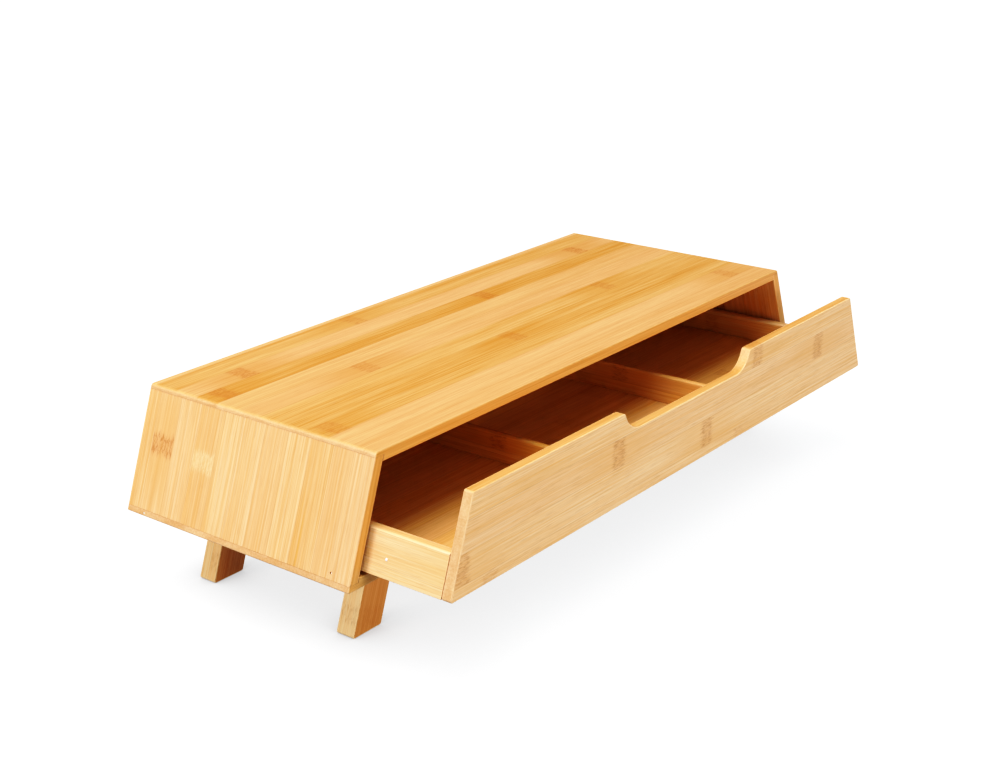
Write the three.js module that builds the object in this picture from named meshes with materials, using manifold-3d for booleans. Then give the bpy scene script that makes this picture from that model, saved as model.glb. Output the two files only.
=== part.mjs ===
// A low bamboo laptop stand: a flat case with leaning sides on four splayed legs, and a drawer with
// three compartments that slides out of its front.
//
// Millimetres, +Z up, +X to the right, and the drawer opens towards -Y. The origin is on the table
// top, below the middle of the stand's outline with the drawer pulled out as it is here.

import * as THREE from 'three';
import { mergeVertices } from 'three/addons/utils/BufferGeometryUtils.js';
import Module from 'manifold-3d';

const manifold = await Module();
manifold.setup();

// ---------------------------------------------------------------- driving dimensions

// Case
const CASE_WIDTH = 534; // outside, along the bottom
const CASE_HEIGHT = 81; // without the legs
const CASE_DEPTH = 200;
const SIDE_LEAN = THREE.MathUtils.degToRad(20); // inwards from vertical
const BOARD = 7.3; // thickness of every board but the drawer's floor and dividers
const TOP_LAP = 2.9; // thickness of the top board's tongues, which run out over the sides
const BOTTOM_LAP = 4.15; // and of the bottom board's, which run out under them

// Legs
const LEG_HEIGHT = 54;
const LEG_WIDTH = 26.4; // along X
const LEG_DEPTH = 14.6; // along Y
const LEG_INSET = 51.6; // from the case's bottom edge to the leg's outer face
const LEG_SPACING = 127; // along Y, middle to middle

// Drawer
const DRAWER_OUT = 68; // how far it is pulled out here
const DRAWER_REVEAL = 2; // gap between the drawer and the case's sides
const FRONT_REVEAL = 2.1; // gap above and below the drawer front
const DRAWER_SIDE_LOW = 10; // above the case's underside
const DRAWER_SIDE_HIGH = 36;
const DRAWER_REAR_CLEARANCE = 1.2; // behind the closed drawer
const FLOOR_LOW = 11;
const FLOOR_HIGH = 15;
const GROOVE_DEPTH = 3; // for the floor, in the drawer's front and sides
const DIVIDER_THICKNESS = 5;
const DIVIDER_OFFSET = 81; // from the middle of the drawer to the middle of a divider
const NOTCH_HALF_WIDTH = 78; // at the top of the drawer front
const NOTCH_DEPTH = 14;
const NOTCH_RADIUS = 18; // at the notch's lower corners
const NOTCH_LIP_RADIUS = 2.5; // at its upper corners
const RUNNER_WIDTH = 12;
const RUNNER_HEIGHT = 2.45;
const STOP_CLEARANCE = 0.3; // from the closed drawer front to the runners' ends

// Edges and joints
const JOINT_GAP = 0.25; // glue line between touching pieces
const EASE = 0.8; // rounding of the boards' ends
const THIN_EASE = 0.4; // the same on the drawer's sides, floor and dividers, and on the runners
const EASE_STEPS = 2;
const FREE_EDGE_RADIUS = 1.6; // long edges of the legs and the drawer front, and the drawer's rims
const TOP_CORNER_RADIUS = 2.6; // long corners of the top board
const BOTTOM_CORNER_RADIUS = 1;
const ARC_STEPS = 3;
const MERGE_DISTANCE = 1e-4;

// Fasteners: lengths run from the top of the head to the tip
const SCREW = { shankRadius: 1.75, headRadius: 3.5, headHeight: 2.6, length: 24, countersunk: true };
const SCREW_SPACING = 9; // the inner screw goes through the middle of the leg's top
const RECESS = { span: 4, width: 0.9, depth: 1.3 }; // the cross in the screw's head
const BRAD = { shankRadius: 0.7, headRadius: 0.95, headHeight: 0.5, length: 17 };
const BRAD_SPACING = 167.4; // along Y, front brad to back brad
const BRAD_HEIGHT_FRONT = 8.3; // where it enters the side's outer face
const BRAD_HEIGHT_BACK = 2.05; // these go in low, through the bottom board's lap
const TACK = { shankRadius: 0.7, headRadius: 1, headHeight: 0.5, length: 5.5 };
const TACK_HEIGHT = 21;
const TACK_SETBACK = 45; // behind the drawer front
const ROUND_STEPS = 16;
const BORE_OVERRUN = 1; // how far a hole's cutter stands out of the face

// ---------------------------------------------------------------- derived dimensions

const SIDE_THICKNESS_X = BOARD / Math.cos(SIDE_LEAN);
const CASE_FRONT = -CASE_DEPTH / 2;
const CASE_BACK = CASE_DEPTH / 2;
const CASE_Y = DRAWER_OUT / 2; // centres the whole outline, drawer included
const UNDER_TOP = CASE_HEIGHT - BOARD;
const FRONT_INNER_FACE = CASE_FRONT + BOARD; // of the closed drawer front
const DRAWER_REAR = CASE_BACK - BOARD - DRAWER_REAR_CLEARANCE;

// The four places where a leg stands and a brad goes in: side is -1 left or 1 right, and end is
// -1 front or 1 back.
const quarters = [-1, 1].flatMap((side) => [-1, 1].map((end) => ({ side, end })));

const caseOuter = (z) => CASE_WIDTH / 2 - z * Math.tan(SIDE_LEAN);
const caseInner = (z) => caseOuter(z) - SIDE_THICKNESS_X;
const drawerOuter = (z) => caseInner(z) - DRAWER_REVEAL;
const drawerInner = (z) => drawerOuter(z) - SIDE_THICKNESS_X;

// ---------------------------------------------------------------- materials

const woodMaterial = (color) => new THREE.MeshStandardMaterial({ color, roughness: 0.5, metalness: 0 });
const materials = {
  caseBamboo: () => woodMaterial(0xe9bd78),
  sideBamboo: () => woodMaterial(0xf2d09a),
  legBamboo: () => woodMaterial(0xd9a061),
  frontBamboo: () => woodMaterial(0xdcb07a),
  drawerBamboo: () => woodMaterial(0xeecb92),
  steel: () => new THREE.MeshStandardMaterial({ color: 0xc9c9c6, roughness: 0.35, metalness: 0.9 }),
};

// ---------------------------------------------------------------- shapes

// A closed outline in X and Z with its corners given as [x, z] or [x, z, radius].
function outline(corners) {
  const shape = new THREE.Shape();
  const point = ([x, z]) => new THREE.Vector2(x, z);
  corners.forEach((corner, i) => {
    const here = point(corner);
    const radius = corner[2] ?? 0;
    if (radius === 0) {
      if (i === 0) shape.moveTo(here.x, here.y);
      else shape.lineTo(here.x, here.y);
      return;
    }
    const back = point(corners.at(i - 1)).sub(here).normalize();
    const ahead = point(corners[(i + 1) % corners.length]).sub(here).normalize();
    const halfAngle = Math.acos(back.dot(ahead)) / 2;
    const middle = back.clone().add(ahead).normalize();
    const centre = here.clone().addScaledVector(middle, radius / Math.sin(halfAngle));
    const reach = radius / Math.tan(halfAngle);
    const start = here.clone().addScaledVector(back, reach).sub(centre);
    const end = here.clone().addScaledVector(ahead, reach).sub(centre);
    const clockwise = back.cross(ahead) > 0;
    shape.absarc(centre.x, centre.y, radius, start.angle(), end.angle(), clockwise);
  });
  return shape;
}

// The same outline for the right-hand side (side = 1) or mirrored to the left (side = -1).
const onSide = (side, corners) => corners.map(([x, z, ...radius]) => [side * x, z, ...radius]);

// Both halves of a symmetrical outline, from the corners of its right half, bottom to top.
function symmetric(rightHalf) {
  return [...rightHalf, ...onSide(-1, rightHalf).reverse()];
}

// A board cut to an outline in X and Z, from yFront back to yBack, with its end arrises eased.
function board(corners, yFront, yBack, ease = EASE) {
  const geometry = new THREE.ExtrudeGeometry(outline(corners), {
    depth: yBack - yFront - 2 * ease,
    curveSegments: ARC_STEPS,
    bevelThickness: ease,
    bevelSize: ease,
    bevelOffset: -ease,
    bevelSegments: EASE_STEPS,
  });
  geometry.rotateX(Math.PI / 2);
  geometry.translate(0, yBack - ease, 0);
  return geometry;
}

// A nail or screw pointing down, with the top of its head at the origin.
function fastener(spec) {
  return turned(spec, 0, 0);
}

// The hole it sits in: a joint gap wider all round, and open above the head.
function bore(spec) {
  return turned(spec, JOINT_GAP, BORE_OVERRUN);
}

function turned(spec, growth, top) {
  const shank = spec.shankRadius + growth;
  const head = spec.headRadius + growth;
  const tip = -spec.length - growth;
  const headFoot = -spec.headHeight - (spec.countersunk ? 0 : growth);
  const profile = [
    [0, tip],
    [shank, tip + 2 * spec.shankRadius],
    [shank, headFoot],
    ...(spec.countersunk ? [] : [[head, headFoot]]),
    [head, 0],
    ...(top > 0 ? [[head, top]] : []),
    [0, top],
  ];
  const points = profile.map(([radius, z]) => new THREE.Vector2(radius, z));
  return new THREE.LatheGeometry(points, ROUND_STEPS).rotateX(Math.PI / 2);
}

// ---------------------------------------------------------------- booleans

function toSolid(geometry) {
  const bare = geometry.clone();
  bare.deleteAttribute('normal');
  bare.deleteAttribute('uv');
  const merged = mergeVertices(bare, MERGE_DISTANCE);
  const triVerts = [];
  for (let i = 0; i < merged.index.count; i += 3) {
    const [a, b, c] = merged.index.array.slice(i, i + 3);
    if (a !== b && b !== c && c !== a) triVerts.push(a, b, c);
  }
  return new manifold.Manifold(new manifold.Mesh({
    numProp: 3,
    vertProperties: new Float32Array(merged.attributes.position.array),
    triVerts: new Uint32Array(triVerts),
  }));
}

function cut(geometry, ...tools) {
  let solid = toSolid(geometry);
  for (const tool of tools) solid = solid.subtract(toSolid(tool));
  const mesh = solid.getMesh();
  const result = new THREE.BufferGeometry();
  result.setAttribute('position', new THREE.BufferAttribute(mesh.vertProperties, 3));
  result.setIndex(new THREE.BufferAttribute(mesh.triVerts, 1));
  return result;
}

function block(width, depth, height, x, y, z) {
  return new THREE.BoxGeometry(width, depth, height).translate(x, y, z);
}

// ---------------------------------------------------------------- case

// The top board's thin laps run out over the sides, and its full thickness fits between them.
function topPanel() {
  const lapLow = CASE_HEIGHT - TOP_LAP;
  return board(symmetric([
    [caseInner(UNDER_TOP) - JOINT_GAP, UNDER_TOP],
    [caseInner(lapLow) - JOINT_GAP, lapLow],
    [caseOuter(lapLow), lapLow],
    [caseOuter(CASE_HEIGHT), CASE_HEIGHT, TOP_CORNER_RADIUS],
  ]), CASE_FRONT, CASE_BACK);
}

function sidePanel(side) {
  const low = BOTTOM_LAP + JOINT_GAP;
  const high = CASE_HEIGHT - TOP_LAP - JOINT_GAP;
  const blank = board(onSide(side, [
    [caseInner(low), low],
    [caseOuter(low), low],
    [caseOuter(high), high],
    [caseInner(high), high],
  ]), CASE_FRONT, CASE_BACK);
  return cut(blank, driven(bore(BRAD), bradSpot(side, -1)));
}

// The bottom board's thin laps run out under the sides. The leg screws' heads sink into it, and
// the brads reach it through the sides' feet.
function bottomPanel() {
  const blank = board(symmetric([
    [caseOuter(0), 0, BOTTOM_CORNER_RADIUS],
    [caseOuter(BOTTOM_LAP), BOTTOM_LAP],
    [caseInner(BOTTOM_LAP) - JOINT_GAP, BOTTOM_LAP],
    [caseInner(BOARD) - JOINT_GAP, BOARD],
  ]), CASE_FRONT, CASE_BACK);
  const holes = [];
  for (const { side, end } of quarters) {
    for (const spot of screwSpots(side, end)) holes.push(bore(SCREW).translate(...spot));
    holes.push(driven(bore(BRAD), bradSpot(side, end)));
  }
  return cut(blank, ...holes);
}

function backPanel() {
  const low = BOARD + JOINT_GAP;
  const high = UNDER_TOP - JOINT_GAP;
  return board(symmetric([
    [caseInner(low) - JOINT_GAP, low],
    [caseInner(high) - JOINT_GAP, high],
  ]), CASE_BACK - BOARD, CASE_BACK);
}

// The drawer's sides slide on these strips, and the closed drawer front stops against their ends.
function runner(side) {
  const outer = drawerOuter(DRAWER_SIDE_LOW);
  const low = BOARD + JOINT_GAP;
  const high = low + RUNNER_HEIGHT - JOINT_GAP;
  const yFront = FRONT_INNER_FACE + STOP_CLEARANCE;
  return board(onSide(side, [
    [outer - RUNNER_WIDTH, low],
    [outer, low],
    [outer, high],
    [outer - RUNNER_WIDTH, high],
  ]), yFront, CASE_BACK - BOARD - JOINT_GAP, THIN_EASE);
}

// ---------------------------------------------------------------- legs and their screws

const legTopX = (side) => side * (CASE_WIDTH / 2 - LEG_INSET - LEG_WIDTH / 2);
const legY = (end) => end * LEG_SPACING / 2;

// The two screws of one leg go down through the bottom board, outwards from the leg's middle.
function screwSpots(side, end) {
  return [0, 1].map((i) => [legTopX(side) + side * i * SCREW_SPACING, legY(end), BOARD]);
}

function screw(spot) {
  const recessHeight = RECESS.depth + BORE_OVERRUN;
  const recessMiddle = BORE_OVERRUN - recessHeight / 2;
  return cut(
    fastener(SCREW),
    block(RECESS.span, RECESS.width, recessHeight, 0, 0, recessMiddle),
    block(RECESS.width, RECESS.span, recessHeight, 0, 0, recessMiddle),
  ).translate(...spot);
}

function leg(side, end) {
  const outer = (z) => CASE_WIDTH / 2 - LEG_INSET - z * Math.tan(SIDE_LEAN);
  const top = -JOINT_GAP;
  const sole = -LEG_HEIGHT;
  const blank = board(onSide(side, [
    [outer(sole) - LEG_WIDTH, sole, FREE_EDGE_RADIUS],
    [outer(sole), sole, FREE_EDGE_RADIUS],
    [outer(top), top],
    [outer(top) - LEG_WIDTH, top],
  ]), legY(end) - LEG_DEPTH / 2, legY(end) + LEG_DEPTH / 2);
  return cut(blank, ...screwSpots(side, end).map((spot) => bore(SCREW).translate(...spot)));
}

// ---------------------------------------------------------------- drawer

// Its ends lean with the case. The finger notch is open at the top, with a long round at each
// lower corner, and the floor's edge sits in a groove along the inner face.
function drawerFront() {
  const low = BOARD + FRONT_REVEAL;
  const high = UNDER_TOP - FRONT_REVEAL;
  const notchFloorHalf = NOTCH_HALF_WIDTH - NOTCH_DEPTH * Math.tan(SIDE_LEAN);
  const blank = board(symmetric([
    [drawerOuter(low), low, FREE_EDGE_RADIUS],
    [drawerOuter(high), high, FREE_EDGE_RADIUS],
    [NOTCH_HALF_WIDTH, high, NOTCH_LIP_RADIUS],
    [notchFloorHalf, high - NOTCH_DEPTH, NOTCH_RADIUS],
  ]), CASE_FRONT, FRONT_INNER_FACE);
  return cut(blank, floorGroove());
}

function floorGroove() {
  const low = FLOOR_LOW - JOINT_GAP;
  const height = FLOOR_HIGH - FLOOR_LOW + 2 * JOINT_GAP;
  const width = 2 * (drawerInner(low) + GROOVE_DEPTH);
  return block(width, 2 * GROOVE_DEPTH, height, 0, FRONT_INNER_FACE, low + height / 2);
}

function drawerSide(side) {
  const grooveLow = FLOOR_LOW - JOINT_GAP;
  const grooveHigh = FLOOR_HIGH + JOINT_GAP;
  const blank = board(onSide(side, [
    [drawerInner(DRAWER_SIDE_LOW), DRAWER_SIDE_LOW],
    [drawerOuter(DRAWER_SIDE_LOW), DRAWER_SIDE_LOW],
    [drawerOuter(DRAWER_SIDE_HIGH), DRAWER_SIDE_HIGH, FREE_EDGE_RADIUS],
    [drawerInner(DRAWER_SIDE_HIGH), DRAWER_SIDE_HIGH, FREE_EDGE_RADIUS],
    [drawerInner(grooveHigh), grooveHigh],
    [drawerInner(grooveHigh) + GROOVE_DEPTH, grooveHigh],
    [drawerInner(grooveLow) + GROOVE_DEPTH, grooveLow],
    [drawerInner(grooveLow), grooveLow],
  ]), FRONT_INNER_FACE + JOINT_GAP, DRAWER_REAR, THIN_EASE);
  return cut(blank, driven(bore(TACK), tackSpot(side)));
}

function drawerFloor() {
  const edge = (z) => drawerInner(z) + GROOVE_DEPTH - JOINT_GAP;
  return board(symmetric([
    [edge(FLOOR_LOW), FLOOR_LOW],
    [edge(FLOOR_HIGH), FLOOR_HIGH],
  ]), FRONT_INNER_FACE - GROOVE_DEPTH + JOINT_GAP, DRAWER_REAR, THIN_EASE);
}

// The back stands on the floor, between the sides.
function drawerBack() {
  const low = FLOOR_HIGH + JOINT_GAP;
  return board(symmetric([
    [drawerInner(low) - JOINT_GAP, low],
    [drawerInner(DRAWER_SIDE_HIGH) - JOINT_GAP, DRAWER_SIDE_HIGH],
  ]), DRAWER_REAR - BOARD, DRAWER_REAR);
}

function divider(side) {
  const low = FLOOR_HIGH + JOINT_GAP;
  const inner = DIVIDER_OFFSET - DIVIDER_THICKNESS / 2;
  const outer = DIVIDER_OFFSET + DIVIDER_THICKNESS / 2;
  return board(onSide(side, [
    [inner, low],
    [outer, low],
    [outer, DRAWER_SIDE_HIGH, FREE_EDGE_RADIUS],
    [inner, DRAWER_SIDE_HIGH, FREE_EDGE_RADIUS],
  ]), FRONT_INNER_FACE + JOINT_GAP, DRAWER_REAR - BOARD - JOINT_GAP, THIN_EASE);
}

// ---------------------------------------------------------------- brads and tacks

// Where the middle of a nail's head is, and how far the nail slopes down going inwards.
function bradSpot(side, end) {
  const isFront = end === -1;
  const z = isFront ? BRAD_HEIGHT_FRONT : BRAD_HEIGHT_BACK;
  return { side, x: caseOuter(z), y: end * BRAD_SPACING / 2, z, slope: isFront ? SIDE_LEAN : 0 };
}

function tackSpot(side) {
  const y = FRONT_INNER_FACE + TACK_SETBACK;
  return { side, x: drawerOuter(TACK_HEIGHT), y, z: TACK_HEIGHT, slope: SIDE_LEAN };
}

// Turns a fastener on its side, with its head outwards, and puts it at its spot.
function driven(geometry, { side, x, y, z, slope }) {
  return geometry.rotateY(side * (Math.PI / 2 - slope)).translate(side * x, y, z);
}

// ---------------------------------------------------------------- assembly

const stand = new THREE.Group();
const fixed = new THREE.Group();
const drawer = new THREE.Group();
fixed.position.set(0, CASE_Y, LEG_HEIGHT);
drawer.position.set(0, CASE_Y - DRAWER_OUT, LEG_HEIGHT);
stand.add(fixed, drawer);

function add(group, name, geometry, material) {
  const mesh = new THREE.Mesh(geometry, material());
  mesh.name = name;
  group.add(mesh);
}

const sideNames = { [-1]: 'left', [1]: 'right' };
const endNames = { [-1]: 'front', [1]: 'back' };

add(fixed, 'top_panel', topPanel(), materials.caseBamboo);
add(fixed, 'bottom_panel', bottomPanel(), materials.caseBamboo);
add(fixed, 'back_panel', backPanel(), materials.caseBamboo);
add(drawer, 'drawer_front', drawerFront(), materials.frontBamboo);
add(drawer, 'drawer_back', drawerBack(), materials.drawerBamboo);
add(drawer, 'drawer_floor', drawerFloor(), materials.drawerBamboo);

for (const side of [-1, 1]) {
  const name = sideNames[side];
  add(fixed, `side_panel_${name}`, sidePanel(side), materials.sideBamboo);
  add(fixed, `runner_${name}`, runner(side), materials.drawerBamboo);
  add(drawer, `drawer_side_${name}`, drawerSide(side), materials.drawerBamboo);
  add(drawer, `divider_${name}`, divider(side), materials.drawerBamboo);
  add(drawer, `drawer_tack_${name}`, driven(fastener(TACK), tackSpot(side)), materials.steel);
}

for (const { side, end } of quarters) {
  const place = `${endNames[end]}_${sideNames[side]}`;
  add(fixed, `leg_${place}`, leg(side, end), materials.legBamboo);
  add(fixed, `case_brad_${place}`, driven(fastener(BRAD), bradSpot(side, end)), materials.steel);
  screwSpots(side, end).forEach((spot, i) => {
    add(fixed, `leg_screw_${place}_${i + 1}`, screw(spot), materials.steel);
  });
}

export default stand;
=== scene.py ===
import math

import bmesh
import bpy
from mathutils import Matrix, Vector


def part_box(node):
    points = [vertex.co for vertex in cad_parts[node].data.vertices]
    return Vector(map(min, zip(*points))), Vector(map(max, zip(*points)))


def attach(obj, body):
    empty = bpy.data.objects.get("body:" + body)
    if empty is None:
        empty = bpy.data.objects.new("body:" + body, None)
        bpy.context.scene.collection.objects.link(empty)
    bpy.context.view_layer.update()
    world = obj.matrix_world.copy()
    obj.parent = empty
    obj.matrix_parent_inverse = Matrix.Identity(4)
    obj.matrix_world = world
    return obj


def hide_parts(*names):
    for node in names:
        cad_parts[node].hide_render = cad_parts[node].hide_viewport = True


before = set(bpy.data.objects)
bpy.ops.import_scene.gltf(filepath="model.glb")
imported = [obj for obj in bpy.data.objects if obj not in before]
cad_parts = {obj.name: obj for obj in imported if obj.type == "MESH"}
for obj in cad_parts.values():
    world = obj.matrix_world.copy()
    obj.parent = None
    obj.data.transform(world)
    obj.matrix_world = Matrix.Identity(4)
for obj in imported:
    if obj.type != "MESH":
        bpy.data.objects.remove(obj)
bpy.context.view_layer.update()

# A low bamboo laptop stand: a case with leaning sides on four splayed legs, and a divided drawer.
# Metres, in the CAD frame: +Z up, +X to the right, and the drawer opens towards -Y. Every board is
# built again with fine edges, inside the box of the CAD node that it stands for.

MM = 0.001

# ------------------------------------------------------------------ driving sizes

SIDE_LEAN = math.radians(20)  # inwards from vertical
BOARD = 7.3 * MM  # thickness of the case's and the drawer's sides
SEAM = 0.15 * MM  # gap left between boards that touch
DRAWER_REVEAL = 2.0 * MM  # level gap between the case's and the drawer's sides
GROOVE_DEPTH = 3.0 * MM  # of the groove that holds the drawer's floor
GROOVE_PLAY = 0.25 * MM
NOTCH_HALF_WIDTH = 78 * MM  # at the top of the drawer front
NOTCH_DEPTH = 14 * MM
NOTCH_RADIUS = 18 * MM
NOTCH_LIP_RADIUS = 2.5 * MM
LEG_WIDTH = 26.4 * MM

ARRIS = 0.7 * MM  # rounding of the boards' ends
THIN_ARRIS = 0.4 * MM  # the same on the back board and most boards inside
TOP_CORNER = 2.6 * MM  # long corners of the top board
BOTTOM_CORNER = 1.0 * MM  # long corners of the bottom board
FREE_EDGE = 1.6 * MM  # long edges of the legs and the drawer front, and the drawer's rims
ARC_STEP = math.radians(8)  # the most that one facet of a rounding turns
SMALL_ARC = 4 * MM  # an arc with a smaller radius counts as an arris
LONG_ARRIS = 0.5  # how much of an arris's wear and painted highlight such an arc shows
SHARP = math.radians(35)  # edges that turn more than this aren't shaded smooth
BRAD_HEAD = 0.95 * MM  # head radii of the CAD's nails
TACK_HEAD = 1.0 * MM
BRAD_HOLE_RADIUS = 0.75 * MM
BRAD_SHANK = 0.4 * MM
BRAD_DEPTH = 5 * MM  # of a brad's hole
TACK_HOLE_RADIUS = 0.45 * MM
TACK_HOLE_DEPTH = 3.1 * MM
TACK_SEAT_RADIUS = 1.05 * MM  # of the shallow seat for a tack's head
TACK_SEAT_DEPTH = 0.15 * MM
CUTTER_REACH = 5 * MM  # how far a hole's cutter stands out of the face that it cuts
SCREW_SHANK = 1.75 * MM
SCREW_HEAD_HEIGHT = 2.6 * MM
SCREW_PLAY = 0.25 * MM
FRONT_SUNK = 0.8 * MM  # how deep the front brads' heads are driven in
BACK_SUNK = 0.15 * MM
STRIP = 19.5 * MM  # width of the bamboo strips that the boards are glued up from
TOP_STRIPS = -12 * MM  # how far the joints between strips are moved across each kind of board
SIDE_STRIPS = -5.3 * MM
FRONT_STRIPS = -12.5 * MM

# ------------------------------------------------------------------ places taken from the frame

low = {name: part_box(name)[0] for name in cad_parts}
high = {name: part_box(name)[1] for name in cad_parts}
CASE_MIDDLE = (low["top_panel"].y + high["top_panel"].y) / 2  # along Y
SIDES = ((-1, "left"), (1, "right"))


def case_outer(z):
    """Half the case's outside width at a height."""
    foot_x, foot_z = high["side_panel_right"].x, low["side_panel_right"].z
    return foot_x - (z - foot_z) * math.tan(SIDE_LEAN)


def case_inner(z):
    return case_outer(z) - BOARD / math.cos(SIDE_LEAN)


def drawer_outer(z):
    return case_inner(z) - DRAWER_REVEAL


def drawer_inner(z):
    return drawer_outer(z) - BOARD / math.cos(SIDE_LEAN)


# ------------------------------------------------------------------ mesh helpers

JOINT = "joint"  # between two corners of an outline: the face that runs between them is glued


def outline(corners):
    """The points of a closed outline in X and Z, each with what follows it: (point, arris, glued).

    Corners are (x, z) or (x, z, radius), going counter-clockwise. arris is how far the next face is
    part of a small rounding, and glued is true for a JOINT."""
    bare = [corner for corner in corners if corner is not JOINT]
    before_joints = [at for at, after in zip(corners, corners[1:] + corners[:1]) if after is JOINT]
    points = []
    for i, corner in enumerate(bare):
        here = Vector(corner[:2])
        glued = corner in before_joints
        if len(corner) == 2:
            points.append((here, 0.0, glued))
            continue
        radius = corner[2]
        back = (Vector(bare[i - 1][:2]) - here).normalized()
        ahead = (Vector(bare[(i + 1) % len(bare)][:2]) - here).normalized()
        half_angle = back.angle(ahead) / 2
        centre = here + (back + ahead).normalized() * radius / math.sin(half_angle)
        spoke = here + back * radius / math.tan(half_angle) - centre
        turn = math.copysign(math.pi - 2 * half_angle, -back.cross(ahead))
        steps = max(3, math.ceil(abs(turn) / ARC_STEP))
        arris = LONG_ARRIS if radius < SMALL_ARC else 0.0
        for k in range(steps):
            points.append((centre + Matrix.Rotation(turn * k / steps, 2) @ spoke, arris, False))
        points.append((centre + Matrix.Rotation(turn, 2) @ spoke, 0.0, glued))
    return points


def on_side(side, corners):
    """The outline for the right-hand side (side = 1), or its mirror image (side = -1)."""
    if side > 0:
        return corners
    return [corner if corner is JOINT else (-corner[0], *corner[1:]) for corner in corners[::-1]]


def symmetric(right_half):
    """Both halves of a symmetrical outline, from its right half's corners, bottom to top."""
    return right_half + on_side(-1, right_half)


def prism(name, corners, y_front, y_back, ease=ARRIS):
    """A board cut to an outline in X and Z, with the edges of its two ends rounded to the radius ease.

    Glued faces and their edges stay sharp. The faces carry "arris": 1 on the rounded ends' edges,
    LONG_ARRIS on the outline's small roundings and 0 elsewhere."""
    points = outline(corners)
    bm = bmesh.new()
    arris = bm.faces.layers.float.new("arris")
    front = [bm.verts.new((point.x, y_front, point.y)) for point, _, _ in points]
    back = [bm.verts.new((point.x, y_back, point.y)) for point, _, _ in points]
    bm.faces.new(front)
    bm.faces.new(back[::-1])
    free_edges = []
    for i, (_, rounded, glued) in enumerate(points):
        j = (i + 1) % len(points)
        side = bm.faces.new((front[j], front[i], back[i], back[j]))
        side[arris] = rounded
        if not glued:
            free_edges += [bm.edges.get((front[i], front[j])), bm.edges.get((back[i], back[j]))]
    bmesh.ops.recalc_face_normals(bm, faces=bm.faces)
    if free_edges:
        eased = bmesh.ops.bevel(
            bm,
            geom=free_edges,
            offset=ease,
            offset_type="OFFSET",
            segments=3,
            profile=0.5,
            affect="EDGES",
        )
        for face in eased["faces"]:
            face[arris] = 1.0
    return mesh_object(name, bm)


def mesh_object(name, bm):
    mesh = bpy.data.meshes.new(name)
    bm.to_mesh(mesh)
    bm.free()
    piece = bpy.data.objects.new(name, mesh)
    bpy.context.scene.collection.objects.link(piece)
    return piece


def turned(name, profile, steps=40):
    """A solid turned about Z from (radius, z) points, which start and end on the axis."""
    bm = bmesh.new()
    rings = []
    for radius, z in profile:
        if radius == 0:
            rings.append([bm.verts.new((0, 0, z))] * steps)
            continue
        angles = [2 * math.pi * k / steps for k in range(steps)]
        rings.append([bm.verts.new((radius * math.cos(a), radius * math.sin(a), z)) for a in angles])
    for below, above in zip(rings, rings[1:]):
        for k in range(steps):
            loop = [below[k], below[(k + 1) % steps], above[(k + 1) % steps], above[k]]
            bm.faces.new(list(dict.fromkeys(loop)))
    bmesh.ops.recalc_face_normals(bm, faces=bm.faces)
    return mesh_object(name, bm)


def block(name, size, centre):
    bm = bmesh.new()
    placed = Matrix.Translation(centre) @ Matrix.Diagonal((*size, 1))
    bmesh.ops.create_cube(bm, size=1, matrix=placed)
    return mesh_object(name, bm)


def cut(piece, cutters):
    """Takes the cutters out of a piece, and deletes them."""
    for cutter in cutters:
        boolean = piece.modifiers.new("cut", "BOOLEAN")
        boolean.solver = "EXACT"
        boolean.object = cutter
    bpy.context.view_layer.update()
    evaluated = piece.evaluated_get(bpy.context.evaluated_depsgraph_get())
    mesh = bpy.data.meshes.new_from_object(evaluated)
    piece.modifiers.clear()
    piece.data = mesh
    for cutter in cutters:
        bpy.data.objects.remove(cutter)
    return piece


def smooth(piece):
    """Smooth rounded edges beside flat faces."""
    piece.data.shade_smooth()
    piece.data.set_sharp_from_angle(angle=SHARP)
    weighted = piece.modifiers.new("weighted_normals", "WEIGHTED_NORMAL")
    weighted.keep_sharp = True


# ------------------------------------------------------------------ grain

X_AXIS = Vector((1, 0, 0))
Y_AXIS = Vector((0, 1, 0))
Z_AXIS = Vector((0, 0, 1))
SHIFT_ALONG = 0.61  # metres from one board's pattern to the next one's, so that none repeat
SHIFT_ACROSS = 37 * STRIP
board_count = 0


def up_the_side(side):
    """The direction up a leaning side board or leg."""
    return Vector((-side * math.sin(SIDE_LEAN), 0, math.cos(SIDE_LEAN)))


def lay_grain(piece, along, across, strip_start=0.0):
    """Writes the place of each point in its board: along the fibres, across the strips and through.

    strip_start moves the joints between strips across the board. Faces get "end_grain", which is 1
    where they cut straight across the fibres, and "edge_grain", which is 1 on the strips' edges."""
    global board_count
    board_count += 1
    through = along.cross(across)
    mesh = piece.data
    shift = Vector((SHIFT_ALONG * board_count, SHIFT_ACROSS * board_count + strip_start, 0.0))
    grain = mesh.attributes.new("grain", "FLOAT_VECTOR", "POINT")
    for vertex, value in zip(mesh.vertices, grain.data):
        place = vertex.co
        value.vector = Vector((place.dot(along), place.dot(across), place.dot(through))) + shift
    for name, direction in (("end_grain", along), ("edge_grain", across)):
        facing = mesh.attributes.new(name, "FLOAT", "FACE")
        for polygon, value in zip(mesh.polygons, facing.data):
            value.value = abs(polygon.normal.dot(direction))
    return shift


# ------------------------------------------------------------------ shader helpers

NOISE_LOW, NOISE_HIGH = 0.34, 0.66  # nearly all of a noise lies between these
MIX_A, MIX_B, MIX_RESULT = 6, 7, 2  # the colour sockets of the Mix node


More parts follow.
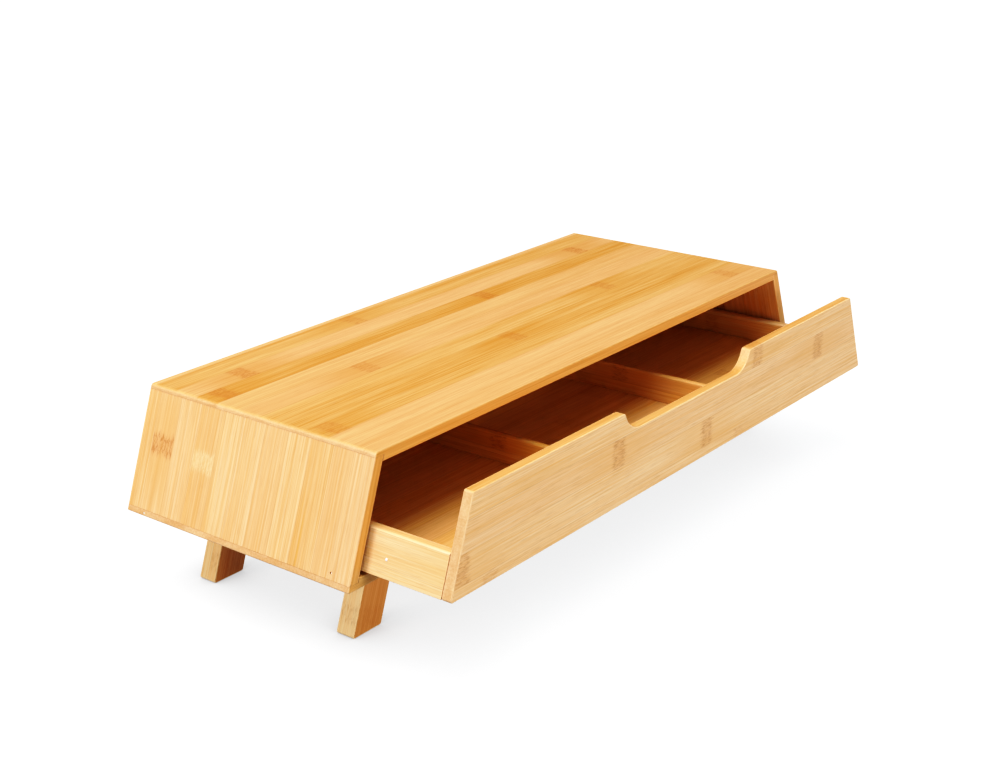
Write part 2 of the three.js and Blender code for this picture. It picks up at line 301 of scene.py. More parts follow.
class Shader:
    """One material's node tree, with short calls for the nodes used here."""

    def __init__(self, name):
        self.material = bpy.data.materials.new(name)
        self.material.use_nodes = True
        self.tree = self.material.node_tree
        self.surface = self.tree.nodes["Principled BSDF"]

    def node(self, kind, **settings):
        made = self.tree.nodes.new(kind)
        for key, value in settings.items():
            setattr(made, key, value)
        return made

    def put(self, socket, value):
        if isinstance(value, bpy.types.NodeSocket):
            self.tree.links.new(value, socket)
        elif isinstance(value, (tuple, list, Vector)) and socket.type == "RGBA":
            socket.default_value = (*value[:3], 1.0)
        else:
            socket.default_value = value

    def attribute(self, name):
        return self.node("ShaderNodeAttribute", attribute_name=name)

    def math(self, operation, a, b=0.0, c=0.0):
        made = self.node("ShaderNodeMath", operation=operation)
        for socket, value in zip(made.inputs, (a, b, c)):
            self.put(socket, value)
        return made.outputs[0]

    def combine(self, x, y, z):
        made = self.node("ShaderNodeCombineXYZ")
        for socket, value in zip(made.inputs, (x, y, z)):
            self.put(socket, value)
        return made.outputs[0]

    def split(self, vector):
        made = self.node("ShaderNodeSeparateXYZ")
        self.put(made.inputs[0], vector)
        return made.outputs[:]

    def noise(self, vector, detail=2.0, roughness=0.5):
        made = self.node("ShaderNodeTexNoise")
        self.put(made.inputs["Vector"], vector)
        made.inputs["Scale"].default_value = 1.0
        made.inputs["Detail"].default_value = detail
        made.inputs["Roughness"].default_value = roughness
        return made.outputs["Fac"]

    def stretched(self, place, sizes):
        """A place divided by the sizes, in metres, of a pattern along each axis."""
        made = self.node("ShaderNodeVectorMath", operation="DIVIDE")
        self.put(made.inputs[0], place)
        self.put(made.inputs[1], sizes)
        return made.outputs[0]

    def random(self, vector):
        made = self.node("ShaderNodeTexWhiteNoise", noise_dimensions="3D")
        self.put(made.inputs["Vector"], vector)
        return self.split(made.outputs["Color"])

    def band(self, value, start, end, low_value=0.0, high_value=1.0, smoothly=True):
        """low_value up to start, high_value from end on, and a smooth step between them."""
        kind = "SMOOTHSTEP" if smoothly else "LINEAR"
        made = self.node("ShaderNodeMapRange", interpolation_type=kind)
        for socket, number in zip(made.inputs, (value, start, end, low_value, high_value)):
            self.put(socket, number)
        return made.outputs[0]

    def spread(self, noise):
        """A noise stretched to fill 0 to 1."""
        return self.band(noise, NOISE_LOW, NOISE_HIGH, smoothly=False)

    def mix(self, factor, a, b, blend="MIX"):
        made = self.node("ShaderNodeMix", data_type="RGBA", blend_type=blend)
        self.put(made.inputs[0], factor)
        self.put(made.inputs[MIX_A], a)
        self.put(made.inputs[MIX_B], b)
        return made.outputs[MIX_RESULT]

    def bump(self, height, distance, strength):
        made = self.node("ShaderNodeBump")
        made.inputs["Strength"].default_value = strength
        made.inputs["Distance"].default_value = distance
        self.put(made.inputs["Height"], height)
        return made.outputs[0]


# ------------------------------------------------------------------ bamboo

# Linear colours. Each board's broad faces run from pale to deep, and its long edges are browner.
# On the legs' front and back faces the edges are darker still, as painted shade.
TONES = {
    "bamboo_top": {"pale": (0.70, 0.42, 0.155), "deep": (0.54, 0.23, 0.03)},
    "bamboo_side": {"pale": (0.89, 0.58, 0.315), "deep": (0.75, 0.38, 0.10)},
    # The legs' tone is paler than the sides': painted light, so that the legs look lit although the
    # case above shades them.
    "bamboo_leg": {"pale": (1.0, 0.75, 0.40), "deep": (0.96, 0.56, 0.21)},
    "bamboo_front": {"pale": (0.95, 0.66, 0.37), "deep": (0.83, 0.46, 0.16)},
    "bamboo_drawer": {"pale": (0.95, 0.73, 0.44), "deep": (0.82, 0.49, 0.18)},
    # The inside tone is the drawer's bamboo made deeper orange: painted shade inside the case and the
    # drawer.
    "inside": {"pale": (0.93, 0.58, 0.22), "deep": (0.77, 0.38, 0.08)},
}
EDGE_PALE = (0.76, 0.42, 0.14)
EDGE_DEEP = (0.60, 0.27, 0.06)
# The legs' edge colours are browner edge grain and painted shade: their front and back faces sit under
# the case.
LEG_EDGE_PAINTED_SHADE_PALE = (0.70, 0.31, 0.10)
LEG_EDGE_PAINTED_SHADE_DEEP = (0.54, 0.18, 0.03)
EDGE_SHARE = {
    "bamboo_top": 1.0,
    "bamboo_side": 1.0,
    "bamboo_leg": 1.0,
    "bamboo_front": 0.95,
    "bamboo_drawer": 0.55,
    "inside": 0.6,
}
END_PALE = (0.88, 0.59, 0.34)
END_DEEP = (0.62, 0.32, 0.11)
PINK = (0.84, 0.51, 0.28)
FIBRE = (0.46, 0.20, 0.045)
NODE_BROWN = (0.44, 0.13, 0.015)
NODE_PALE = (0.97, 0.76, 0.46)

# Sizes of the patterns, in metres: along the fibres, across the strips and through the board
DRIFT_SIZE = (0.5, 0.008, 0.008)
STREAK_SIZE = (0.13, 0.0016, 0.0016)
LINE_SIZE = (0.07, 0.0009, 0.0009)
FINE_SIZE = (0.03, 0.00045, 0.00045)
DASH_SIZE = (0.012, 0.0006, 0.0006)
RAGGED_SIZE = (0.03, 0.0012, 0.0012)
SPECK_SIZE = (0.0038, 0.0008, 0.0008)
DOT_SIZE = (0.0012, 0.0012, 0.0012)
STAIN_SIZE = (0.012, 0.012, 0.004)
STRIP_SEED = (3.7, 1.3)  # picks one of the ways to deal the strips their tones
STRIP_SLIDE = 9.0  # metres, the most that a strip's patterns are moved along it

# How much each thing deepens the colour, and the depths at which it is fully pale and fully deep
STRIP_DEPTH, DRIFT_DEPTH, STREAK_DEPTH, LINE_DEPTH = 0.17, 0.15, 0.28, 0.34
DEPTH_RANGE = (0.20, 0.76)
# How much of a colour is laid over another, where it is strongest
PINK_SHARE = 0.35
FIBRE_SHARE = 0.20
JOINT_SHARE = 0.40
END_SHARE = 0.85
# How much an arris is rubbed paler and painted with a highlight
WEAR_AND_HIGHLIGHT_SHARES = (0.25, 0.75)  # on an arris, over pale and over dark streaks
JOINT_REACH = (0.05 * MM, 0.25 * MM)  # from a joint between strips, between which its line fades

# How far a face must turn towards the fibres, or the strips' edges, to begin and to look fully so
END_FACING = (0.35, 0.95)
EDGE_FACING = (0.45, 0.95)
DASH_RANGE = (0.58, 0.70)  # of its noise, where a fibre bundle's dash begins and is full
FINE_LIGHT = (1.08, 0.91)  # brightness of the finest lines, from pale to dark
DOT_DEPTH, CUT_STRIP_DEPTH, STAIN_DEPTH = 0.40, 0.25, 0.35  # what deepens the cut ends
LACQUER_ROUGHNESS = (0.38, 0.54)  # over the finest lines, from pale to dark
END_ROUGHER = 0.22  # what a cut end adds to it
BUMP_DISTANCE = 0.05 * MM

NODE_STEP = 0.29  # metres between growth nodes along a strip
NODE_WANDER = 18 * MM  # the width over which a node's outline wanders
NODE_PATCH = (3 * MM, 9 * MM)  # from its middle, between which its patch fades
NODE_RIM = 5.5 * MM  # from its middle to where its strokes are strongest
NODE_STROKES = (0.5 * MM, 4 * MM)  # from that rim, between which they weaken
NODE_AROUND = (12 * MM, 60 * MM)  # from its middle, between which its strip's deeper colour fades
# A growth node's patch and its share, its strokes and their share, and how much its strip deepens
NODE_LOOKS = {
    "strong": (NODE_BROWN, 0.16, NODE_BROWN, 0.85, 0.45),
    "dark": (NODE_BROWN, 0.12, NODE_BROWN, 0.55, 0.40),
    "faint": (NODE_BROWN, 0.04, NODE_BROWN, 0.32, 0.15),
    "pale": (NODE_PALE, 0.15, NODE_PALE, 0.50, 0.0),
}


def bamboo(name, tone, marks=()):
    """Strips of split bamboo glued side by side under a thin satin lacquer.

    marks are the growth nodes in sight: (place in the board, look), one strip wide. A board without
    them gets nodes at random."""
    shader = Shader(name)
    tones = TONES[tone]
    place = shader.attribute("grain").outputs["Vector"]
    end = shader.band(shader.attribute("end_grain").outputs["Fac"], *END_FACING)
    edge = shader.band(shader.attribute("edge_grain").outputs["Fac"], *EDGE_FACING)
    arris = shader.attribute("arris").outputs["Fac"]
    along, across, through = shader.split(place)

    # Which strip, and how far from its joint
    row = shader.math("DIVIDE", across, STRIP)
    strip = shader.math("FLOOR", row)
    chance = shader.random(shader.combine(strip, *STRIP_SEED))
    in_strip = shader.math("FRACT", row)
    from_joint = shader.math("MULTIPLY", shader.math("PINGPONG", in_strip, 0.5), STRIP)
    joint = shader.band(from_joint, *JOINT_REACH, 1.0, 0.0)

    # Each strip has its own stretch of the patterns
    slid = shader.math("MULTIPLY_ADD", chance[0], STRIP_SLIDE, along)
    in_wood = shader.combine(slid, across, through)
    drift = shader.spread(shader.noise(shader.stretched(in_wood, DRIFT_SIZE), 1))
    streak = shader.spread(shader.noise(shader.stretched(in_wood, STREAK_SIZE), 2, 0.6))
    line = shader.spread(shader.noise(shader.stretched(in_wood, LINE_SIZE), 2, 0.6))
    fine = shader.noise(shader.stretched(in_wood, FINE_SIZE), 2, 0.6)
    dash = shader.noise(shader.stretched(in_wood, DASH_SIZE), 1)
    bundles = shader.band(dash, *DASH_RANGE)

    # Colour
    depth = shader.math("MULTIPLY", drift, DRIFT_DEPTH)
    for part, share in ((chance[1], STRIP_DEPTH), (streak, STREAK_DEPTH), (line, LINE_DEPTH)):
        depth = shader.math("MULTIPLY_ADD", part, share, depth)
    depth = shader.band(depth, *DEPTH_RANGE, smoothly=False)
    colour = shader.mix(depth, tones["pale"], tones["deep"])
    pinkness = shader.band(chance[2], 0.35, 1.0, 0.0, PINK_SHARE, smoothly=False)
    colour = shader.mix(pinkness, colour, PINK)
    light = shader.band(fine, 0.25, 0.75, *FINE_LIGHT, smoothly=False)
    colour = shader.mix(1.0, colour, shader.combine(light, light, light), "MULTIPLY")
    colour = shader.mix(shader.math("MULTIPLY", bundles, FIBRE_SHARE), colour, FIBRE)
    colour = shader.mix(shader.math("MULTIPLY", joint, JOINT_SHARE), colour, FIBRE)

    # The strips' edges are browner, and the growth nodes run through to them
    # On the legs the edges are darker still: painted shade on the faces under the case.
    edges = (LEG_EDGE_PAINTED_SHADE_PALE, LEG_EDGE_PAINTED_SHADE_DEEP) if tone == "bamboo_leg" else (EDGE_PALE, EDGE_DEEP)
    on_edge = shader.math("MULTIPLY", edge, EDGE_SHARE[tone])
    colour = shader.mix(on_edge, colour, shader.mix(depth, *edges))
    deep = shader.mix(on_edge, tones["deep"], edges[1])
    if marks:
        for where, look in marks:
            from_node = shader.math("SUBTRACT", along, where.x)
            strip_low = math.floor(where.y / STRIP) * STRIP
            after = shader.math("GREATER_THAN", across, strip_low)
            before = shader.math("LESS_THAN", across, strip_low + STRIP)
            inside = shader.math("MULTIPLY", after, before)
            colour = growth_node(shader, colour, deep, place, from_node, inside, look)
    else:
        cell = shader.math("FRACT", shader.math("DIVIDE", slid, NODE_STEP))
        from_node = shader.math("MULTIPLY", shader.math("SUBTRACT", cell, 0.5), NODE_STEP)
        strength = shader.band(chance[1], 0.1, 0.9, 0.3, 1.0)
        colour = growth_node(shader, colour, deep, place, from_node, strength, "dark")

    # Cut ends are pinkish and dotted with fibres; arrises are rubbed paler, with a painted highlight
    dots = shader.noise(shader.stretched(place, DOT_SIZE), 3, 0.6)
    stain = shader.noise(shader.stretched(place, STAIN_SIZE), 2)
    end_depth = shader.math("MULTIPLY", shader.spread(dots), DOT_DEPTH)
    end_depth = shader.math("MULTIPLY_ADD", chance[0], CUT_STRIP_DEPTH, end_depth)
    end_depth = shader.math("MULTIPLY_ADD", shader.spread(stain), STAIN_DEPTH, end_depth)
    end_colour = shader.mix(end_depth, END_PALE, END_DEEP)
    colour = shader.mix(shader.math("MULTIPLY", end, END_SHARE), colour, end_colour)
    wear_and_highlight = shader.math("MULTIPLY", arris, shader.band(streak, 0.0, 1.0, *WEAR_AND_HIGHLIGHT_SHARES))
    colour = shader.mix(wear_and_highlight, colour, shader.mix(end, tones["pale"], END_PALE))
    shader.put(shader.surface.inputs["Base Color"], colour)

    # Satin lacquer, drier over the fibre bundles
    roughness = shader.band(fine, 0.25, 0.75, *LACQUER_ROUGHNESS, smoothly=False)
    roughness = shader.math("MULTIPLY_ADD", end, END_ROUGHER, roughness)
    shader.put(shader.surface.inputs["Roughness"], roughness)
    shader.surface.inputs["Specular IOR Level"].default_value = 0.3
    height = shader.math("MULTIPLY_ADD", bundles, -0.5, fine)
    height = shader.math("MULTIPLY_ADD", joint, -0.8, height)
    shader.put(shader.surface.inputs["Normal"], shader.bump(height, BUMP_DISTANCE, 0.35))
    return shader.material


def growth_node(shader, colour, deep, place, from_node, strength, look):
    """Adds the mark where the cane had a node: a ragged patch with broken dark strokes at its ends."""
    patch_colour, patch_share, stroke_colour, stroke_share, strip_share = NODE_LOOKS[look]
    ragged = shader.noise(shader.stretched(place, RAGGED_SIZE), 4, 0.8)
    bent = shader.math("MULTIPLY_ADD", shader.math("SUBTRACT", ragged, 0.5), NODE_WANDER, from_node)
    far = shader.math("ABSOLUTE", bent)
    patch = shader.band(far, *NODE_PATCH, 1.0, 0.0)
    speck = shader.noise(shader.stretched(place, SPECK_SIZE), 3, 0.7)
    from_rim = shader.math("ABSOLUTE", shader.math("SUBTRACT", far, NODE_RIM))
    rim = shader.band(from_rim, *NODE_STROKES, 1.0, 0.55)
    strokes = shader.math("MULTIPLY", rim, shader.band(speck, 0.45, 0.58))
    strokes = shader.math("MULTIPLY", strokes, patch)
    around = shader.band(far, *NODE_AROUND, strip_share, 0.0)
    colour = shader.mix(shader.math("MULTIPLY", around, strength), colour, deep)
    patch = shader.math("MULTIPLY", patch, strength)
    colour = shader.mix(shader.math("MULTIPLY", patch, patch_share), colour, patch_colour)
    strokes = shader.math("MULTIPLY", strokes, strength)
    return shader.mix(shader.math("MULTIPLY", strokes, stroke_share), colour, stroke_colour)


def steel():
    shader = Shader("zinc_plated_steel")
    place = shader.node("ShaderNodeTexCoord").outputs["Object"]
    mottle = shader.noise(shader.stretched(place, (0.0009, 0.0009, 0.0009)), 3)
    shine = shader.mix(mottle, (0.78, 0.77, 0.75), (0.92, 0.92, 0.91))
    shader.put(shader.surface.inputs["Base Color"], shine)
    shader.put(shader.surface.inputs["Roughness"], shader.band(mottle, 0.3, 0.7, 0.30, 0.48))
    shader.surface.inputs["Metallic"].default_value = 0.6
    shader.put(shader.surface.inputs["Normal"], shader.bump(mottle, 0.03 * MM, 0.3))
    return shader.material


# ------------------------------------------------------------------ boards

plain_bamboo = {}  # the materials without placed growth nodes, by tone


def hand_over(piece, node, body):
    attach(piece, body)
    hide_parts(node)


def board(node, body, slot, piece, along, across, strip_start=0.0, marks=(), tone=None):
    """Gives a board its grain, its bamboo and its place in the frame.

    marks are (point, look), with the point anywhere in the strip that has the growth node."""
    shift = lay_grain(piece, along, across, strip_start)
    smooth(piece)
    through = along.cross(across)
    placed = []
    for point, look in marks:
        point = Vector(point)
        in_board = Vector((point.dot(along), point.dot(across), point.dot(through))) + shift
        placed.append((in_board, look))
    tone = tone or slot
    if placed:
        material = bamboo(f"{slot}_{node}", tone, placed)
    else:
        if tone not in plain_bamboo:
            plain_bamboo[tone] = bamboo(f"{tone}_plain", tone)
        material = plain_bamboo[tone]
    piece.data.materials.append(material)
    hand_over(piece, node, body)


# Growth nodes, in millimetres: on the top from the case's middle, on the sides from its middle and
# its underside, and on the drawer front from its middle and the case's underside
TOP_NODES = (
    (-188, 66, "strong"),
    (-222, 44, "strong"),
    (-224, -52, "dark"),
    (-60, 88, "dark"),
    (45, 47, "strong"),
    (120, -10, "dark"),
    (190, 70, "strong"),
    (-20, -35, "dark"),
    (205, -75, "dark"),
    (-130, 8, "dark"),
)
SIDE_NODES = {
    "left": ((79, 46.3, "strong"), (40, 44, "pale")),
    "right": ((-30, 38, "dark"), (60, 52, "faint")),
}
LEG_NODE_HEIGHT = 15 * MM  # up each leg
FRONT_NODES = (
    (-85, 47.6, "dark"),
    (22, 30, "dark"),
    (66, 14, "faint"),
    (89, 66, "dark"),
    (181, 48, "dark"),
    (-243, 28, "dark"),
    (-218, 13, "faint"),
)


def top_board():
    under, top = low["top_panel"].z, high["top_panel"].z
    lap = high["side_panel_right"].z + SEAM
    piece = prism("bamboo_top_panel", symmetric([
        (case_inner(under) - SEAM, under),
        JOINT,
        (case_inner(lap) - SEAM, lap),
        JOINT,
        (case_outer(lap), lap),
        (case_outer(top), top, TOP_CORNER),
    ]), low["top_panel"].y, high["top_panel"].y)
    place = Vector((0, CASE_MIDDLE, 0))
    marks = [(place + Vector((x * MM, y * MM, 0)), look) for x, y, look in TOP_NODES]
    board("top_panel", "case", "bamboo_top", piece, X_AXIS, Y_AXIS, TOP_STRIPS, marks)


def bottom_board():
    under, top = low["bottom_panel"].z, high["bottom_panel"].z
    lap = low["side_panel_right"].z - SEAM
    piece = prism("bamboo_bottom_panel", symmetric([
        (case_outer(under), under, BOTTOM_CORNER),
        (case_outer(lap), lap),
        JOINT,
        (case_inner(lap) - SEAM, lap),
        JOINT,
        (case_inner(top) - SEAM, top),
    ]), low["bottom_panel"].y, high["bottom_panel"].y)
    brads = [Nail(f"case_brad_back_{name}", side, 0.0, case_outer) for side, name in SIDES]
    cut(piece, [brad.hole(BRAD_HOLE) for brad in brads] + screw_holes())
    for brad in brads:
        brad.make("case", sunk(BACK_SUNK))
    board("bottom_panel", "case", "bamboo_top", piece, X_AXIS, Y_AXIS)


def back_board():
    node = "back_panel"
    under, top = low[node].z, high[node].z
    piece = prism("bamboo_back_panel", symmetric([
        (case_inner(under) - SEAM, under),
        (case_inner(top) - SEAM, top),
    ]), low[node].y, high[node].y, THIN_ARRIS)
    board(node, "case", "bamboo_top", piece, X_AXIS, Z_AXIS)


def side_board(side, name):
    node = f"side_panel_{name}"
    under, top = low[node].z, high[node].z
    piece = prism(f"bamboo_{node}", on_side(side, [
        (case_inner(under), under),
        JOINT,
        (case_outer(under), under),
        (case_outer(top), top),
        JOINT,
        (case_inner(top), top),
    ]), low[node].y, high[node].y)
    brad = Nail(f"case_brad_front_{name}", side, SIDE_LEAN, case_outer)
    cut(piece, [brad.hole(BRAD_HOLE)])
    brad.make("case", sunk(FRONT_SUNK))
    foot = Vector((0, CASE_MIDDLE, low["bottom_panel"].z))
    marks = []
    for y, z, look in SIDE_NODES[name]:
        height = z * MM
        point = foot + Vector((side * case_outer(foot.z + height), y * MM, height))
        marks.append((point, look))
    board(node, "case", "bamboo_side", piece, up_the_side(side), Y_AXIS, SIDE_STRIPS, marks)


def runner(name):
    node = f"runner_{name}"
    piece = prism(f"bamboo_{node}", [
        (low[node].x, low[node].z),
        (high[node].x, low[node].z),
        (high[node].x, high[node].z, 2 * THIN_ARRIS),
        (low[node].x, high[node].z, 2 * THIN_ARRIS),
    ], low[node].y, high[node].y, THIN_ARRIS)
    board(node, "case", "bamboo_drawer", piece, Y_AXIS, X_AXIS, tone="inside")


def leg(side, name):
    node = f"leg_{name}"
    sole, top = low[node].z, high[node].z
    # The box ends on the rounding of the sole's outer corner, a little inside the corner itself
    foot = max(abs(low[node].x), abs(high[node].x))
    foot += FREE_EDGE * (math.tan(SIDE_LEAN) + 1 / math.cos(SIDE_LEAN) - 1)

    def outer(z):
        return foot - (z - sole) * math.tan(SIDE_LEAN)

    piece = prism(f"bamboo_{node}", on_side(side, [
        (outer(sole) - LEG_WIDTH, sole, FREE_EDGE),
        (outer(sole), sole, FREE_EDGE),
        (outer(top), top),
        JOINT,
        (outer(top) - LEG_WIDTH, top),
    ]), low[node].y, high[node].y)
    cut(piece, screw_holes(name))
    foot_corner = Vector((side * outer(sole), low[node].y, sole))
    low_on_leg = foot_corner + up_the_side(side) * LEG_NODE_HEIGHT
    board(node, "case", "bamboo_leg", piece, up_the_side(side), Y_AXIS, 0, [(low_on_leg, "faint")])


def floor_groove():
    """The lowest and highest point of the groove that holds the drawer's floor."""
    return low["drawer_floor"].z - GROOVE_PLAY, high["drawer_floor"].z + GROOVE_PLAY


def drawer_front():
    node = "drawer_front"
    under, top = low[node].z, high[node].z
    notch_floor_half = NOTCH_HALF_WIDTH - NOTCH_DEPTH * math.tan(SIDE_LEAN)
    piece = prism("bamboo_drawer_front", symmetric([
        (drawer_outer(under), under, FREE_EDGE),
        (drawer_outer(top), top, FREE_EDGE),
        (NOTCH_HALF_WIDTH, top, NOTCH_LIP_RADIUS),
        (notch_floor_half, top - NOTCH_DEPTH, NOTCH_RADIUS),
    ]), low[node].y, high[node].y)
    groove_low, groove_high = floor_groove()
    width = 2 * (drawer_inner(groove_low) + GROOVE_DEPTH)
    groove = block(
        "groove",
        (width, 2 * GROOVE_DEPTH, groove_high - groove_low),
        (0, high[node].y, (groove_low + groove_high) / 2),
    )
    cut(piece, [groove])
    foot = Vector((0, 0, low["bottom_panel"].z))
    marks = [(foot + Vector((x * MM, 0, z * MM)), look) for x, z, look in FRONT_NODES]
    board(node, "drawer", "bamboo_front", piece, X_AXIS, Z_AXIS, FRONT_STRIPS, marks)


def drawer_side(side, name):
    node = f"drawer_side_{name}"
    under, top = low[node].z, high[node].z
    groove_low, groove_high = floor_groove()
    piece = prism(f"bamboo_{node}", on_side(side, [
        (drawer_inner(under), under, THIN_ARRIS),
        (drawer_outer(under), under, THIN_ARRIS),
        (drawer_outer(top), top, FREE_EDGE),
        (drawer_inner(top), top, FREE_EDGE),
        (drawer_inner(groove_high), groove_high),
        (drawer_inner(groove_high) + GROOVE_DEPTH, groove_high),
        (drawer_inner(groove_low) + GROOVE_DEPTH, groove_low),
        (drawer_inner(groove_low), groove_low),
    ]), low[node].y, high[node].y, THIN_ARRIS / 2)
    tack = Nail(f"drawer_tack_{name}", side, SIDE_LEAN, drawer_outer)
    cut(piece, [tack.hole(TACK_HOLE)])
    tack.make("drawer", DOMED_TACK)
    board(node, "drawer", "bamboo_drawer", piece, Y_AXIS, up_the_side(side))


def drawer_floor():
    node = "drawer_floor"
    under, top = low[node].z, high[node].z
    piece = prism("bamboo_drawer_floor", symmetric([
        (drawer_inner(under) + GROOVE_DEPTH - GROOVE_PLAY, under),
        (drawer_inner(top) + GROOVE_DEPTH - GROOVE_PLAY, top),
    ]), low[node].y, high[node].y, THIN_ARRIS)
    board(node, "drawer", "bamboo_drawer", piece, X_AXIS, Y_AXIS, tone="inside")


def drawer_back():
    node = "drawer_back"
    under, top = low[node].z, high[node].z
    piece = prism("bamboo_drawer_back", symmetric([
        (drawer_inner(under) - SEAM, under),
        (drawer_inner(top) - SEAM, top),
    ]), low[node].y, high[node].y, THIN_ARRIS)
    board(node, "drawer", "bamboo_drawer", piece, X_AXIS, Z_AXIS, tone="inside")


def divider(name):
    node = f"divider_{name}"
    under, top = low[node].z, high[node].z
    piece = prism(f"bamboo_{node}", [
        (low[node].x, under),
        (high[node].x, under),
        (high[node].x, top, FREE_EDGE),
        (low[node].x, top, FREE_EDGE),
    ], low[node].y, high[node].y, THIN_ARRIS)
    board(node, "drawer", "bamboo_drawer", piece, Y_AXIS, Z_AXIS, tone="inside")


# ------------------------------------------------------------------ nails


class Nail:
    """A brad or tack driven square into a face: where its head is, and the nail itself."""

    def __init__(self, node, side, slope, outer):
        rim = TACK_HEAD if "tack" in node else BRAD_HEAD
        height = high[node].z - rim * math.cos(slope)
        self.node = node
        self.head = Vector((side * outer(height), (low[node].y + high[node].y) / 2, height))
        outwards = Vector((side * math.cos(slope), 0, math.sin(slope)))
        facing = outwards.to_track_quat("Z", "Y").to_matrix().to_4x4()
        self.turn = Matrix.Translation(self.head) @ facing

    def hole(self, profile):
        hole = turned("hole", profile)
        hole.data.transform(self.turn)
        return hole

    def make(self, body, profile):
        piece = turned(f"steel_{self.node}", profile)
        piece.data.transform(self.turn)
        smooth(piece)
        piece.data.materials.append(metal)
        hand_over(piece, self.node, body)


def screw_holes(place=""):
    """Cutters for the two screws of the leg at a place, or for every leg's."""
    holes = []
    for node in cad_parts:
        if not node.startswith(f"leg_screw_{place}"):
            continue
        middle = (low[node] + high[node]) / 2
        shank = SCREW_SHANK + SCREW_PLAY
        head = (high[node].x - low[node].x) / 2 + SCREW_PLAY
        hole = turned("hole", [
            (0, low[node].z - SCREW_PLAY),
            (shank, low[node].z - SCREW_PLAY),
            (shank, high[node].z - SCREW_HEAD_HEIGHT - SCREW_PLAY),
            (head, high[node].z),
            (head, high[node].z + CUTTER_REACH),
            (0, high[node].z + CUTTER_REACH),
        ])
        hole.data.transform(Matrix.Translation((middle.x, middle.y, 0)))
        holes.append(hole)
    return holes


def sunk(depth):
    """A brad whose head stays this deep in its hole, from its point to the dimple in its head."""
    return [
        (0, -BRAD_DEPTH + 0.1 * MM),
        (BRAD_SHANK, -BRAD_DEPTH + 0.1 * MM),
        (BRAD_SHANK, -depth - 0.5 * MM),
        (BRAD_HOLE_RADIUS - 0.05 * MM, -depth - 0.3 * MM),
        (BRAD_HOLE_RADIUS - 0.05 * MM, -depth - 0.08 * MM),
        (BRAD_HOLE_RADIUS - 0.15 * MM, -depth),
        (0.2 * MM, -depth - 0.03 * MM),
        (0, -depth - 0.05 * MM),
    ]


BRAD_HOLE = [
    (0, -BRAD_DEPTH),
    (BRAD_HOLE_RADIUS, -BRAD_DEPTH),
    (BRAD_HOLE_RADIUS, CUTTER_REACH),
    (0, CUTTER_REACH),
]
TACK_HOLE = [
    (0, -TACK_HOLE_DEPTH),
    (TACK_HOLE_RADIUS, -TACK_HOLE_DEPTH),
    (TACK_HOLE_RADIUS, -TACK_SEAT_DEPTH),
    (TACK_SEAT_RADIUS, -TACK_SEAT_DEPTH),
    (TACK_SEAT_RADIUS, CUTTER_REACH),
    (0, CUTTER_REACH),
]
DOMED_TACK = [
    (0, -3 * MM),
    (0.35 * MM, -3 * MM),
    (0.35 * MM, -0.1 * MM),
    (0.98 * MM, -0.05 * MM),
    (1.0 * MM, 0.02 * MM),
    (0.92 * MM, 0.12 * MM),
    (0.65 * MM, 0.22 * MM),
    (0.3 * MM, 0.28 * MM),
    (0, 0.3 * MM),
]


# ------------------------------------------------------------------ stage, light and camera

CAMERA_PLACE = (-0.8821, -0.6724, 0.4999)
CAMERA_AZIMUTH = math.radians(-51.47)
CAMERA_ELEVATION = math.radians(20.01)
CAMERA_ROLL = math.radians(-0.72)
LENS = 58.62  # millimetres
SENSOR_WIDTH = 36
FLOOR_HALF = 12  # metres from its middle to its edge
FLOOR_GAP = 0.1 * MM  # so that the soles and the floor never share a plane
FLOOR_COLOUR = (0.20, 0.175, 0.155)  # on top of this it glows, as a softly lit white table does
FLOOR_GLOW = (0.86, 0.885, 0.905)
FLOOR_GLOW_NEAR, FLOOR_GLOW_FAR = 0.5, 2.5  # metres from the object, between which it grows to white
# How far off a shade of the object reaches, its darkest glow, and the openness at which it ends
FLOOR_SHADES = ((0.10, 0.64, 0.60), (0.035, 0.60, 0.95))
DARKEST_OPENNESS = 0.10
SKY_STRENGTH = 0.22  # as a light
LIGHT_TARGET = (0, 0, 0.08)
# The lights' places, their widths in metres, their watts, and whether they show in reflections
LIGHTS = {
    "overhead": ((-0.45, 0.12, 2.4), 2.6, 63, True),
    "key": ((-2.0, 0.7, 0.75), 0.8, 19, True),
    "front": ((-0.2, -2.4, 0.5), 0.7, 26, False),  # else it glares on the top, seen from behind
    "back": ((1.5, 2.2, 0.7), 1.2, 9, False),
}
CONTRAST = ((0.02, 0.006), (0.063, 0.030), (0.20, 0.19), (0.45, 0.51), (0.75, 0.85))


def camera():
    data = bpy.data.cameras.new("camera")
    data.sensor_width = SENSOR_WIDTH
    data.lens = LENS
    data.clip_end = 50
    made = bpy.data.objects.new("camera", data)
    bpy.context.scene.collection.objects.link(made)
    turn = Matrix.Rotation(CAMERA_AZIMUTH, 4, "Z")
    tilt = Matrix.Rotation(math.pi / 2 - CAMERA_ELEVATION, 4, "X")
    roll = Matrix.Rotation(CAMERA_ROLL, 4, "Z")
    made.matrix_world = Matrix.Translation(CAMERA_PLACE) @ turn @ tilt @ roll
    bpy.context.scene.camera = made


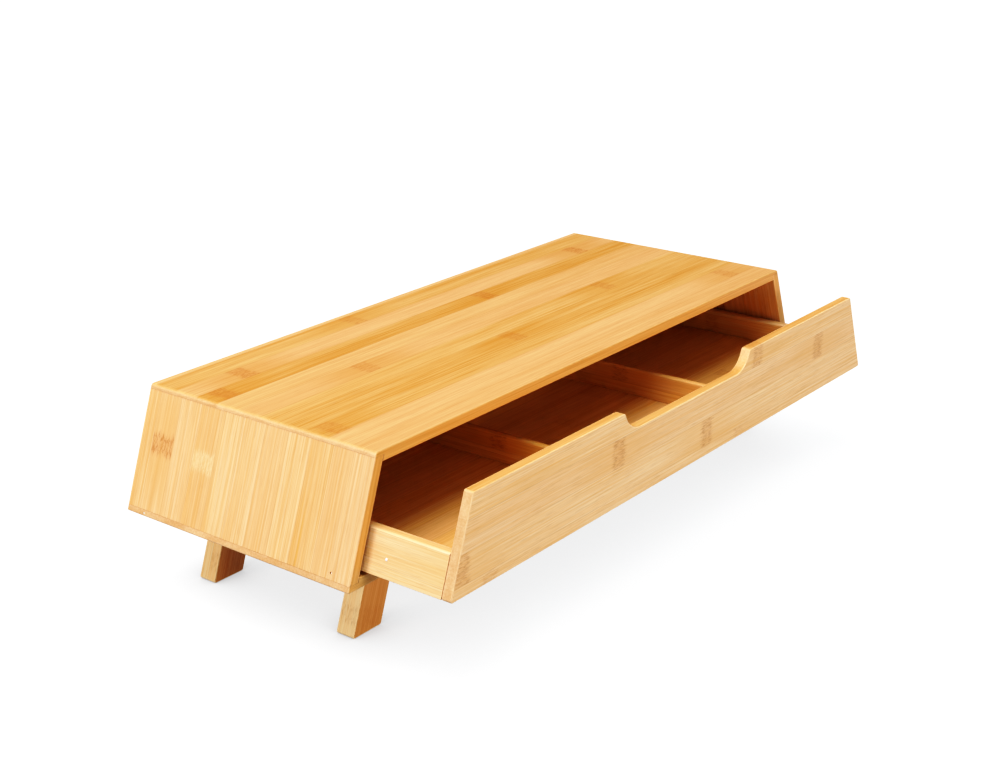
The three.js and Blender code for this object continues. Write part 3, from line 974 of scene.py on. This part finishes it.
def floor():
    bm = bmesh.new()
    bmesh.ops.create_grid(bm, x_segments=8, y_segments=8, size=FLOOR_HALF)
    made = mesh_object("floor", bm)
    made.data.transform(Matrix.Translation((0, 0, -FLOOR_GAP)))
    shader = Shader("pale_floor")
    place = shader.node("ShaderNodeTexCoord").outputs["Object"]
    mottle = shader.noise(shader.stretched(place, (0.4, 0.4, 0.4)), 2)
    paler = [1.02 * part for part in FLOOR_COLOUR]
    shader.put(shader.surface.inputs["Base Color"], shader.mix(mottle, FLOOR_COLOUR, paler))
    shader.surface.inputs["Roughness"].default_value = 0.8
    shader.surface.inputs["Specular IOR Level"].default_value = 0.1
    distance = shader.node("ShaderNodeVectorMath", operation="LENGTH")
    shader.put(distance.inputs[0], place)
    far = shader.band(distance.outputs["Value"], FLOOR_GLOW_NEAR, FLOOR_GLOW_FAR)
    shader.put(shader.surface.inputs["Emission Color"], shader.mix(far, FLOOR_GLOW, (1, 1, 1)))
    glow = 1.0
    for reach, darkest, until in FLOOR_SHADES:
        openness = shader.node("ShaderNodeAmbientOcclusion", samples=16)
        openness.inputs["Distance"].default_value = reach
        open_share = openness.outputs["AO"]
        shade = shader.band(open_share, DARKEST_OPENNESS, until, darkest, 1.0, smoothly=False)
        glow = shader.math("MULTIPLY", shade, glow)
    shader.put(shader.surface.inputs["Emission Strength"], glow)
    made.data.materials.append(shader.material)
    made.visible_diffuse = False  # so that its glow doesn't light the object


def area_light(name, place, size, power, reflected):
    data = bpy.data.lights.new(name, "AREA")
    data.shape = "DISK"
    data.size = size
    data.energy = power
    made = bpy.data.objects.new(name, data)
    bpy.context.scene.collection.objects.link(made)
    aim = (Vector(LIGHT_TARGET) - Vector(place)).to_track_quat("-Z", "Y")
    made.matrix_world = Matrix.Translation(place) @ aim.to_matrix().to_4x4()
    made.visible_glossy = reflected


def lights():
    world = bpy.data.worlds.new("studio")
    world.use_nodes = True
    background = world.node_tree.nodes["Background"]
    background.inputs["Color"].default_value = (1, 1, 1, 1)
    backdrop = world.node_tree.nodes.new("ShaderNodeMapRange")  # white where it is seen past the floor
    backdrop.inputs["To Min"].default_value = SKY_STRENGTH
    rays = world.node_tree.nodes.new("ShaderNodeLightPath")
    world.node_tree.links.new(rays.outputs["Is Camera Ray"], backdrop.inputs["Value"])
    world.node_tree.links.new(backdrop.outputs["Result"], background.inputs["Strength"])
    bpy.context.scene.world = world
    for name, settings in LIGHTS.items():
        area_light(name, *settings)


def photographic_contrast():
    """The standard view, with deeper shadows and lighter mid-tones."""
    settings = bpy.context.scene.view_settings
    settings.view_transform = "Standard"
    settings.use_curve_mapping = True
    curve = settings.curve_mapping.curves[3]  # the one for all colours together
    for dark, bright in CONTRAST:
        curve.points.new(dark, bright)
    settings.curve_mapping.update()


# ------------------------------------------------------------------ the object

metal = steel()

top_board()
bottom_board()
back_board()
drawer_front()
drawer_floor()
drawer_back()
for side, name in SIDES:
    side_board(side, name)
    runner(name)
    drawer_side(side, name)
    divider(name)
    for end in ("front", "back"):
        leg(side, f"{end}_{name}")

for name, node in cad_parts.items():
    if "screw" in name:
        node.data.materials.clear()
        node.data.materials.append(metal)

camera()
floor()
lights()
photographic_contrast()
